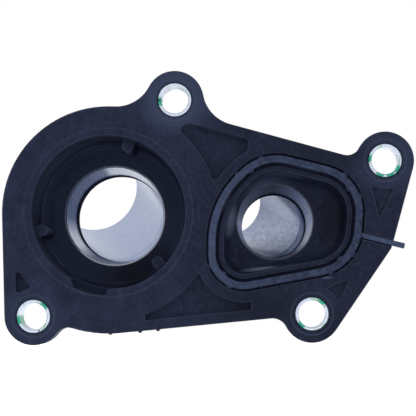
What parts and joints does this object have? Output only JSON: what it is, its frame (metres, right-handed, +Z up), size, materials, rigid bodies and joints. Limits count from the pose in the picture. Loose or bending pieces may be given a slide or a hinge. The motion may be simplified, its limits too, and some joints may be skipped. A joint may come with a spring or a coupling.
{
  "type": "coolant flange",
  "caption": "Moulded coolant flange with a round thermostat pocket, a sealed shaped port, steel bolt sleeves and leaning hose stubs.",
  "frame": {"origin": "centre of the round thermostat pocket, in the plane of the mating face", "axes": "-Y out of the mating face towards the cylinder head, +Y back along the hose stubs, +X to the right and +Z up as seen from in front of the mating face"},
  "size_m": [0.1353, 0.0956, 0.0901],
  "materials": {
    "moulded_plastic": "glass-filled nylon, moulded, fine matte grain",
    "seal_rubber": "moulded rubber, slightly glossy",
    "sleeve_steel": "rolled and zinc plated"
  },
  "bodies": {
    "root": {"flange_body": "moulded_plastic", "port_seal": "seal_rubber", "bolt_sleeve_upper_left": "sleeve_steel", "bolt_sleeve_upper_right": "sleeve_steel", "bolt_sleeve_lower_right": "sleeve_steel", "bolt_sleeve_lower_left": "sleeve_steel"}
  },
  "joints": []
}
